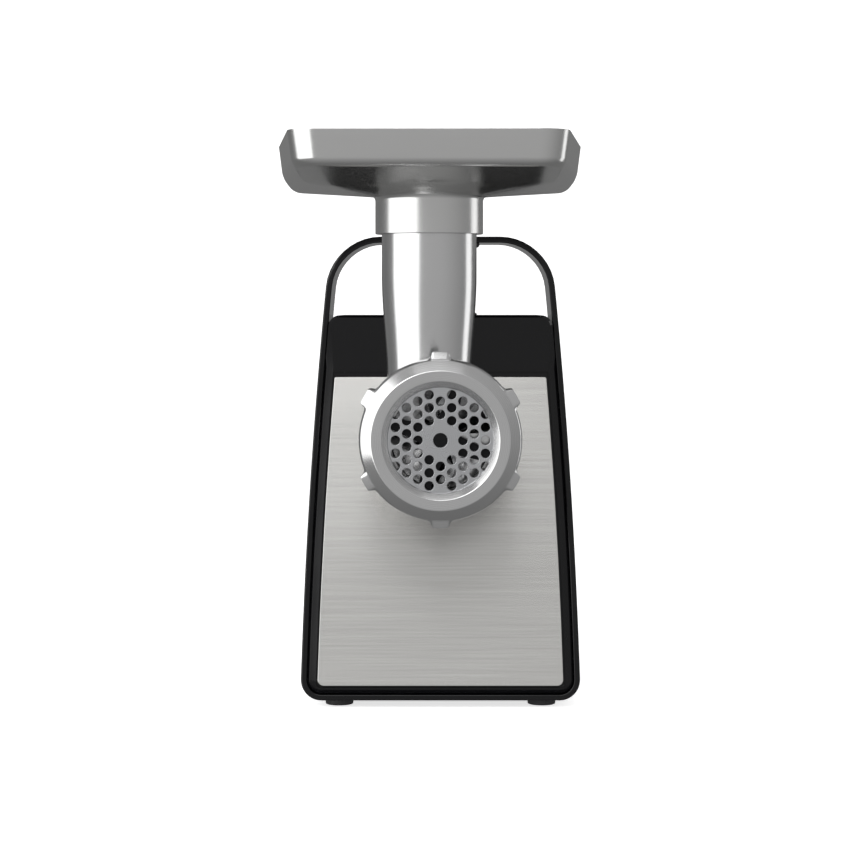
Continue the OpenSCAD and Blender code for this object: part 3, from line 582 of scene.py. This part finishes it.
class FrontBezel(bpy.types.Operator):
    """Makes the black front, whose side bevels taper to points at the shoulder"""

    bl_idname = "grinder.front_bezel"
    bl_label = "Front bezel"

    def execute(self, context):
        sizes = context.scene.grinder_housing
        head = context.scene.grinder_head
        inset = sizes.band_t + 0.2 * MM
        low = FOOT_GAP + inset
        bm = bmesh.new()
        face = front_outline(bm, sizes, inset, low, sizes.shoulder_h, sizes.corner_r - inset,
                             6 * MM)
        face = inset_face(bm, face, sizes.bevel_w)
        inner = set(face.verts)
        outer = [v for v in bm.verts if v not in inner]
        partner = {v: e.other_vert(v) for v in inner for e in v.link_edges
                   if e.other_vert(v) not in inner}
        taper_low, taper_high = 197 * MM, 214.5 * MM
        rise = {v: min(max((v.co.z - taper_low) / (taper_high - taper_low), 0), 1)
                for v in bm.verts}
        for v in inner:
            v.co = v.co.lerp(partner[v].co, 0.74 * rise[v])
            v.co.z -= 1 * MM * min(max((low + 10 * MM - v.co.z) / (5 * MM), 0), 1)
        lay_on_face(sizes, inner, 0)
        for v in outer:
            v.co.y = sizes.face_y(v.co.z, sizes.bevel_w * (1 - rise[v]) + 1.4 * MM * rise[v])
        self.sink_pocket(bm, sizes, face)
        self.close_back(bm, sizes, inset)
        bmesh.ops.recalc_face_normals(bm, faces=bm.faces)
        opening = bmesh.new()
        bmesh.ops.create_cone(opening, cap_ends=True, segments=96, radius1=head.spigot_r + 7.3 * MM,
                              radius2=head.spigot_r + 7.3 * MM, depth=0.2,
                              matrix=Matrix.Translation((0, -0.06, head.axis_z))
                              @ Matrix.Rotation(math.pi / 2, 4, "X"))
        bm = combined(bm, opening, "DIFFERENCE")
        put_in_scene(bm, "black_front", "housing",
                     [finish("polished_black_abs", polished_black_abs)], ["front_bezel"])
        return {"FINISHED"}

    def sink_pocket(self, bm, sizes, face):
        """Sinks the shallow pocket that the steel panel lies in."""
        top = sizes.panel_high + 0.8 * MM
        cut = bmesh.ops.bisect_plane(bm, geom=[face] + list(face.edges) + list(face.verts),
                                     plane_co=(0, 0, top), plane_no=(0, 0, 1))
        line = [e for e in cut["geom_cut"] if isinstance(e, bmesh.types.BMEdge)]
        below = min((f for e in line for f in e.link_faces), key=lambda f: f.calc_center_median().z)
        lay_on_face(sizes, inset_face(bm, below, 0.2 * MM).verts, 1.25 * MM)

    def close_back(self, bm, sizes, inset):
        """Carries the outline back and closes it with a hollow back."""
        rim = [e for e in bm.edges if len(e.link_faces) == 1]
        back = bmesh.ops.extrude_edge_only(bm, edges=rim)["geom"]
        lay_on_face(sizes, [g for g in back if isinstance(g, bmesh.types.BMVert)], 9 * MM)
        edges = [g for g in back if isinstance(g, bmesh.types.BMEdge)]
        rear = bmesh.ops.contextual_create(bm, geom=edges)["faces"]
        middle = inset_face(bm, rear[0], sizes.bevel_w + 3 * MM)
        hollow = bmesh.ops.extrude_face_region(bm, geom=[middle])["geom"]
        lay_on_face(sizes, [g for g in hollow if isinstance(g, bmesh.types.BMVert)], 3.7 * MM)


class SteelPanel(bpy.types.Operator):
    """Makes the brushed steel panel of the front"""

    bl_idname = "grinder.steel_panel"
    bl_label = "Steel panel"

    def execute(self, context):
        steel = finish("brushed_stainless", brushed_stainless)
        bm = from_cad("front_panel")
        round_edges(bm, 0.3 * MM, 2, 60)
        brushing = bm.loops.layers.uv.new("brushing")
        for face in bm.faces:
            for loop in face.loops:
                loop[brushing].uv = (loop.vert.co.z, loop.vert.co.x)
        put_in_scene(bm, "steel_panel", "housing", [steel], ["front_panel"],
                     shift=Vector())
        return {"FINISHED"}


class HousingShells(bpy.types.Operator):
    """Makes the housing's shell and rear cover, the rocker, the cable inlet and the feet"""

    bl_idname = "grinder.housing_shells"
    bl_label = "Housing shells"

    def execute(self, context):
        gloss = finish("polished_black_abs", polished_black_abs)
        matt = finish("grained_black_abs", grained_black_abs)
        rubber = finish("soft_rubber", soft_rubber)
        softened("housing_shell", "front_shell", "housing", gloss, 0.5 * MM)
        softened("rear_cover", "rear_shell", "housing", gloss, 0.5 * MM)
        softened("rocker_bezel", "rocker_surround", "housing", matt, 0.5 * MM)
        softened("cord_gland", "cable_inlet", "housing", matt, 0.6 * MM)
        softened("rubber_feet", "feet", "housing", rubber, 0.7 * MM)
        softened("power_rocker", "rocker_key", "rocker", gloss, 0.5 * MM)
        softened("release_button", "head_button", "release", matt, 0.9 * MM, 3)
        softened("base_plate", "floor_plate", "housing", matt, 0.4 * MM)
        return {"FINISHED"}


class HeadSocket(bpy.types.Operator):
    """Makes the metal ring that the grinding head pushes into"""

    bl_idname = "grinder.head_socket"
    bl_label = "Head socket"

    def execute(self, context):
        softened("head_socket", "socket_ring", "housing",
                 finish("satin_cast_aluminium", satin_cast_aluminium), 0.6 * MM, 2, 50)
        return {"FINISHED"}


class GrindingHead(bpy.types.Operator):
    """Makes the cast barrel with its thread, feed tube and the fillet between them"""

    bl_idname = "grinder.grinding_head"
    bl_label = "Grinding head"

    def execute(self, context):
        head = context.scene.grinder_head
        axis = Vector((0, 0, head.axis_z))
        along = Vector((0, 1, 0))
        barrel_r, thread_r = head.plate_r + 3 * MM, head.plate_r + 3.7 * MM
        mouth, spigot, rear = -186.5 * MM, -98 * MM, -48 * MM
        outside = [(0, mouth), (head.plate_r + 1.5 * MM, mouth)]
        for i in range(8):
            y = mouth + (0.8 + i * 3) * MM
            outside += [(thread_r - 1.2 * MM, y), (thread_r, y + 1.1 * MM),
                        (thread_r, y + 1.9 * MM)]
        outside += [(thread_r - 1.2 * MM, -161.5 * MM), (barrel_r, -160 * MM),
                    (barrel_r, spigot - 3 * MM), (head.spigot_r + 7 * MM, spigot - 3 * MM),
                    (head.spigot_r + 7 * MM, spigot + 4 * MM), (head.spigot_r, spigot + 4 * MM),
                    (head.spigot_r, rear), (0, rear)]
        body = turned(outside, axis, along, 0.35 * MM, 120)
        foot = Vector((-head.tube_off, -head.tube_y, 0))
        up = Vector((0, 0, 1))
        root = head.axis_z
        widening = []
        for i in range(25):
            t = i / 24
            r = head.tube_root_r + (head.tube_r - head.tube_root_r) * t * t * (3 - 2 * t)
            widening.append((r, root + (26 + 62 * t) * MM))
        tube = turned([(0, root + 6 * MM), (head.tube_root_r, root + 6 * MM), *widening,
                       (head.tube_r, head.tube_top), (0, head.tube_top)],
                      foot, up, 0.3 * MM, 144, 2)
        body = combined(body, tube, "UNION")
        body = combined(body, self.fillet(head, foot, barrel_r), "UNION")
        bore = turned([(0, mouth - 5 * MM), (head.plate_r + SLACK, mouth - 5 * MM),
                       (head.plate_r + SLACK, -177.5 * MM), (27 * MM, -177.5 * MM),
                       (27 * MM, -58 * MM), (12 * MM, -58 * MM), (12 * MM, rear + 5 * MM),
                       (0, rear + 5 * MM)], axis, along, 0, 120)
        body = combined(body, bore, "DIFFERENCE")
        throat = bmesh.new()
        bmesh.ops.create_cone(throat, cap_ends=True, segments=120, radius1=head.throat_r,
                              radius2=head.throat_r, depth=0.15,
                              matrix=Matrix.Translation(foot + up * (root + 0.075)))
        body = combined(body, throat, "DIFFERENCE")
        put_in_scene(body, "cast_head", "head",
                     [finish("satin_cast_aluminium", satin_cast_aluminium)], ["grinder_head"], 30)
        return {"FINISHED"}

    def fillet(self, head, foot, barrel_r):
        """The flare where the tube meets the barrel: turned flat, then draped on the barrel."""
        unit = [(math.cos(math.radians(a)), math.sin(math.radians(a))) for a in range(0, 91, 10)]
        flare = [(0.985 - c, 0.985 - s) for c, s in reversed(unit)]
        points = [(-2, -0.6), (0.985, -0.6)] + flare + [(-2, 0.985)]
        bm = turned([(0.1 + x * MM, z * MM) for x, z in points], foot, Vector((0, 0, 1)), 0, 120)
        for v in bm.verts:
            out = v.co - foot
            reach = Vector((out.x, out.y, 0)).length - 0.1
            way = Vector((out.x, out.y, 0)).normalized()
            wall_x = foot.x + way.x * head.tube_root_r
            size = 2 + 6 * max(0, 1 - (wall_x / barrel_r) ** 2)
            r = head.tube_root_r + reach * size
            x = foot.x + way.x * r
            under = math.sqrt(max(barrel_r ** 2 - x ** 2, 0))
            v.co = Vector((x, foot.y + way.y * r, head.axis_z + under + out.z * size))
        bmesh.ops.recalc_face_normals(bm, faces=bm.faces)
        return bm


class RingNut(bpy.types.Operator):
    """Makes the ring nut with its lugs, and the cutting plate behind it"""

    bl_idname = "grinder.ring_nut"
    bl_label = "Ring nut and cutting plate"

    def execute(self, context):
        head = context.scene.grinder_head
        front = -head.front
        plate = head.plate_r
        nut_r, lug_r = plate + 11.5 * MM, plate + 15.7 * MM
        cone, shoulder = 5 * MM, 2 * MM
        section = [(plate + 0.3 * MM, front), (plate + 5.9 * MM, front),
                   (nut_r, front + cone), (nut_r + 0.8 * MM, front + cone + shoulder),
                   (nut_r + 0.8 * MM, front + 29 * MM), (plate + 4 * MM, front + 29 * MM),
                   (plate + 4 * MM, front + 8 * MM), (plate + SLACK, front + 8 * MM),
                   (plate + SLACK, front + 4.5 * MM), (plate - 3.1 * MM, front + 4.5 * MM),
                   (plate - 3.1 * MM, front + 3.5 * MM)]
        bm = turned(section, Vector((0, 0, head.axis_z)), Vector((0, 1, 0)), 0.45 * MM, 360, 2)
        half = math.degrees(head.lug_w / 2 / lug_r)
        turn = 360 / head.lugs
        for v in bm.verts:
            out = Vector((v.co.x, v.co.z - head.axis_z))
            if out.length < nut_r - 0.7 * MM:
                continue
            angle = math.degrees(math.atan2(out.y, out.x))
            past = abs(angle % turn - turn / 2) - half
            height = 1 if past < 0 else max(0, 1 - 0.72 * past) if past < 1 else \
                0.28 * max(0, (4.5 - past) / 3.5) ** 2
            slope = min(max((v.co.y - front - cone) / shoulder, 0), 1)
            out *= 1 + (lug_r - nut_r - 0.8 * MM) * height * slope / out.length
            v.co.x, v.co.z = out.x, out.y + head.axis_z
        put_in_scene(bm, "nut_ring", "nut",
                     [finish("turned_aluminium", turned_aluminium)], ["ring_nut"], 38)
        softened("cutting_plate", "hole_plate", "plate",
                 finish("ground_tool_steel", ground_tool_steel), 0.22 * MM, 2, 50)
        return {"FINISHED"}


class HopperTray(bpy.types.Operator):
    """Makes the pressed tray with its collar that sits on the feed tube"""

    bl_idname = "grinder.hopper_tray"
    bl_label = "Hopper tray"

    def execute(self, context):
        tray = context.scene.grinder_tray
        head = context.scene.grinder_head
        low = tray.top - tray.lip
        neck = head.tube_top + 2.5 * MM
        seat = head.tube_top + SLACK
        bm = bmesh.new()
        start = self.rim(bm, tray, head)
        under = (9, 28)  # inset and cut all the way down from the slope to the collar
        # each station: inset, cut at the front, height, share of the way to a circle, its
        # radius, and the rounding of the edge there
        stations = [
            (2.5, 0, low, 0, 0, 4),
            (*under, low - 8 * MM, 0, 0, 5.4),
            (*under, low - 10 * MM, 0.35, tray.collar_r, 0),
            (*under, low - 12 * MM, 0.7, tray.collar_r, 0),
            (*under, neck, 1, tray.collar_r, 2),
            (*under, neck - tray.collar_h, 1, tray.collar_r, 0.5),
            (*under, neck - tray.collar_h, 1, head.tube_r + SLACK, 0.5),
            (*under, seat, 1, head.tube_r + SLACK, 0),
            (*under, seat, 1, head.throat_r, 0.3),
            (*under, neck + tray.wall, 1, head.throat_r, 1.0),
            (10, 29, low - 10 * MM, 0.7, tray.collar_r, 0),
            (10.5, 29.5, low - 8.1 * MM, 0.35, tray.collar_r, 0),
            (11, 30, low - 6 * MM, 0, 0, 4),
            (4.4, 1, low + 1.2 * MM, 0, 0, 3),
            (1.8, 0, tray.top, 0, 0, 0.6),
        ]
        edges, rounded = start, [(start, 0.6)]
        for inset, cut, z, share, radius, rounding in stations:
            edges = self.carry(bm, edges, head, inset * MM, cut * MM, z, share, radius, tray)
            rounded.append((edges, rounding))
        bmesh.ops.bridge_loops(bm, edges=start + edges)
        for edges, rounding in rounded:
            if rounding:
                bmesh.ops.bevel(bm, geom=[e for e in edges if e.is_valid], offset=rounding * MM,
                                offset_type="OFFSET", segments=5 if rounding > 2 else 2,
                                profile=0.5, affect="EDGES", material=-1, clamp_overlap=True)
        bm.verts.layers.float_vector.remove(bm.verts.layers.float_vector["rim"])
        put_in_scene(bm, "pressed_tray", "tray",
                     [finish("drawn_aluminium", drawn_aluminium)], ["hopper_tray"], 40)
        return {"FINISHED"}

    def rim(self, bm, tray, head):
        """The rim's outer edge: four corners, rounded, with the straights divided."""
        front, back = -tray.front, tray.depth - tray.front
        narrow, wide = self.half_widths(tray)
        corners = [(narrow, front), (wide, back), (-wide, back), (-narrow, front)]
        verts = [bm.verts.new((x - head.tube_off, y, tray.top)) for x, y in corners]
        bm.faces.new(verts)
        for pair, radius in (((verts[0], verts[3]), 14 * MM), ((verts[1], verts[2]), 28 * MM)):
            bmesh.ops.bevel(bm, geom=pair, offset=radius, offset_type="OFFSET", segments=12,
                            profile=0.5, affect="VERTICES", material=-1)
        bmesh.ops.delete(bm, geom=bm.faces[:], context="FACES_ONLY")
        straights = [e for e in bm.edges if e.calc_length() > 40 * MM]
        bmesh.ops.subdivide_edges(bm, edges=straights, cuts=23)
        rim = bm.verts.layers.float_vector.new("rim")
        for v in bm.verts:
            v[rim] = v.co
        return bm.edges[:]

    def half_widths(self, tray):
        """Half widths where the sides would meet the front and rear edges unrounded."""
        slope = (tray.rear_w - tray.front_w) / 2 / (tray.depth - 42 * MM)
        return tray.front_w / 2 - 14 * MM * slope, tray.rear_w / 2 + 27 * MM * slope

    def carry(self, bm, edges, head, inset, cut, z, share, radius, tray):
        """Extrudes a loop of edges and moves it inwards, back, and towards a circle."""
        rim = bm.verts.layers.float_vector["rim"]
        foot = Vector((-head.tube_off, -head.tube_y, 0))
        narrow, wide = self.half_widths(tray)
        made = bmesh.ops.extrude_edge_only(bm, edges=edges)["geom"]
        for v in (g for g in made if isinstance(g, bmesh.types.BMVert)):
            start = v[rim]
            along = (start.y + tray.front) / tray.depth
            width = narrow + (wide - narrow) * along
            x = foot.x + (start.x - foot.x) * (width - inset) / width
            y = -tray.front + inset + cut + along * (tray.depth - 2 * inset - cut)
            flat = Vector((x, y, 0))
            circle = foot + (flat - foot).normalized() * radius
            v.co = flat.lerp(circle, share) + Vector((0, 0, z))
        return [g for g in made if isinstance(g, bmesh.types.BMEdge)]


PAINTED_SHADE_PARTS = ("auger_shank", "knife")  # parts of the cutting set coloured black as painted shade, for the dark cavity behind the plate's holes


class InnerWorks(bpy.types.Operator):
    """Gives the drive, the auger and the other parts inside their finishes"""

    bl_idname = "grinder.inner_works"
    bl_label = "Inner works"

    def execute(self, context):
        finishes = {
            "gloss_black": finish("polished_black_abs", polished_black_abs),
            "matt_black": finish("grained_black_abs", grained_black_abs),
            "rubber": finish("soft_rubber", soft_rubber),
            "brushed_steel": finish("brushed_stainless", brushed_stainless),
            "cast_aluminium": finish("satin_cast_aluminium", satin_cast_aluminium),
            "ground_steel": finish("ground_tool_steel", ground_tool_steel),
            **machine_finishes(),
        }
        slots = {p["node"]: p["material_slot"] for p in frame["record"]["subparts"]}
        for name, node in frame["nodes"].items():
            if node.hide_render:
                continue
            # the auger shank and knife take the dark blacked steel as painted shade
            material = finishes["blacked_steel" if name in PAINTED_SHADE_PARTS else slots[name]]
            if not node.material_slots:
                node.data.materials.append(material)
            for place in node.material_slots:
                place.material = material
        return {"FINISHED"}


class Studio(bpy.types.Operator):
    """Makes the pale floor and backdrop, the soft lights and the camera"""

    bl_idname = "grinder.studio"
    bl_label = "Studio"

    def execute(self, context):
        scene = context.scene
        self.backdrop()
        scene.view_settings.view_transform = "Standard"
        scene.world = scene.world or bpy.data.worlds.new("room")
        scene.world.use_nodes = True
        # the room: lightest in front and above, darker behind the object and below it
        tree = scene.world.node_tree
        sky = tree.nodes["Background"]
        way = add_node(tree, "ShaderNodeTexCoord").outputs["Generated"]
        facing = add_node(tree, "ShaderNodeVectorMath", [(0, way)], operation="DOT_PRODUCT")
        facing.inputs[1].default_value = (0, -0.85, 0.52)
        room = spread(tree, facing.outputs["Value"], 0.2, 0.5, -0.5, 0.75)
        tree.links.new(room, sky.inputs["Strength"])
        sky.inputs["Color"].default_value = linear("FFFFFF")
        middle = HOME + Vector((0, -0.13, 0.2))
        self.softbox("left_softbox", middle, 60, 14, 1.0, 1.45, 1.3, 9.4)
        self.softbox("right_softbox", middle, -112, 8, 1.0, 0.4, 1.1, 1.7)
        self.softbox("overhead_softbox", middle, 8, 82, 1.2, 0.9, 0.9, 1.1)
        self.softbox("front_softbox", middle, 20, 35, 1.9, 1.5, 0.9, 7.8)
        camera = bpy.data.cameras.new("camera")
        camera.sensor_width = 36
        camera.lens = 104.65
        camera.shift_x = -0.0182
        camera.shift_y = -0.1412
        holder = bpy.data.objects.new("camera", camera)
        holder.location = HOME + Vector((0, -1.495, 0.229))
        holder.rotation_euler = (math.pi / 2, 0, 0)
        scene.collection.objects.link(holder)
        scene.camera = holder
        return {"FINISHED"}

    def backdrop(self):
        """A sweep: floor and back wall as one sheet, with a wide curve between them."""
        half, tall, curve = 12, 14, 5
        bm = bmesh.new()
        bmesh.ops.create_grid(bm, x_segments=1, y_segments=1, size=half,
                              matrix=Matrix.Translation((0, 0, -0.0002)))
        rear = [e for e in bm.edges if all(v.co.y > half * 0.9 for v in e.verts)]
        wall = bmesh.ops.extrude_edge_only(bm, edges=rear)["geom"]
        bmesh.ops.translate(bm, vec=(0, 0, tall), verts=[g for g in wall
                                                       if isinstance(g, bmesh.types.BMVert)])
        round_edges(bm, curve, 16, 60)
        mesh = bpy.data.meshes.new("sweep")
        bm.to_mesh(mesh)
        bm.free()
        mesh.shade_smooth()
        material, tree, shader, place = start_material("pale_paper")
        # background paper: flat and nearly white, with a faint mottle
        mottle = speckle(tree, place, 300)
        tree.links.new(two_tones(tree, mottle, linear("F4F4F4"), linear("EFEFEF")),
                       shader.inputs["Base Color"])
        shader.inputs["Roughness"].default_value = 0.9
        shader.inputs["Emission Color"].default_value = linear("FFFFFF")
        shader.inputs["Emission Strength"].default_value = 0.72
        mesh.materials.append(material)
        sweep = bpy.data.objects.new("sweep", mesh)
        bpy.context.scene.collection.objects.link(sweep)
        sweep.visible_glossy = False  # polished metal mirrors the room, not the paper

    def softbox(self, name, middle, azimuth, elevation, distance, width, height, power):
        """An area light that faces the object; azimuth turns from the front towards -X."""
        a, e = math.radians(azimuth), math.radians(elevation)
        way = Vector((-math.sin(a) * math.cos(e), -math.cos(a) * math.cos(e), math.sin(e)))
        light = bpy.data.lights.new(name, "AREA")
        light.shape = "RECTANGLE"
        light.size, light.size_y = width, height
        light.energy = power
        holder = bpy.data.objects.new(name, light)
        holder.location = middle + way * distance
        holder.rotation_euler = way.to_track_quat("Z", "Y").to_euler()
        bpy.context.scene.collection.objects.link(holder)


class GrinderPanel(bpy.types.Panel):
    """Lists the operators that make the grinder, and its sizes and colours"""

    bl_idname = "VIEW3D_PT_meat_grinder"
    bl_label = "Meat grinder"
    bl_space_type = "VIEW_3D"
    bl_region_type = "UI"
    bl_category = "Meat grinder"

    def draw(self, context):
        for step in STEPS:
            self.layout.operator(step.bl_idname)
        for group in (context.scene.grinder_housing, context.scene.grinder_head,
                      context.scene.grinder_tray, context.scene.grinder_colours):
            box = self.layout.box()
            for name in group.bl_rna.properties.keys():
                if name not in ("rna_type", "name"):
                    box.prop(group, name)


STEPS = (CarryingLoop, FrontBezel, SteelPanel, HousingShells, HeadSocket, GrindingHead,
         RingNut, HopperTray, InnerWorks, Studio)
GROUPS = {
    "grinder_housing": HousingSizes,
    "grinder_head": HeadSizes,
    "grinder_tray": TraySizes,
    "grinder_colours": Colours,
}


def register():
    for name, group in GROUPS.items():
        bpy.utils.register_class(group)
        setattr(bpy.types.Scene, name, PointerProperty(type=group))
    for step in (*STEPS, GrinderPanel):
        bpy.utils.register_class(step)


def unregister():
    for step in reversed((*STEPS, GrinderPanel)):
        bpy.utils.unregister_class(step)
    for name, group in GROUPS.items():
        delattr(bpy.types.Scene, name)
        bpy.utils.unregister_class(group)


def main():
    register()
    for step in STEPS:
        made = getattr(bpy.ops.grinder, step.bl_idname.split(".")[1])()
        if made != {"FINISHED"}:
            raise RuntimeError(f"{step.bl_label} was not made")


if __name__ == "__main__":
    main()
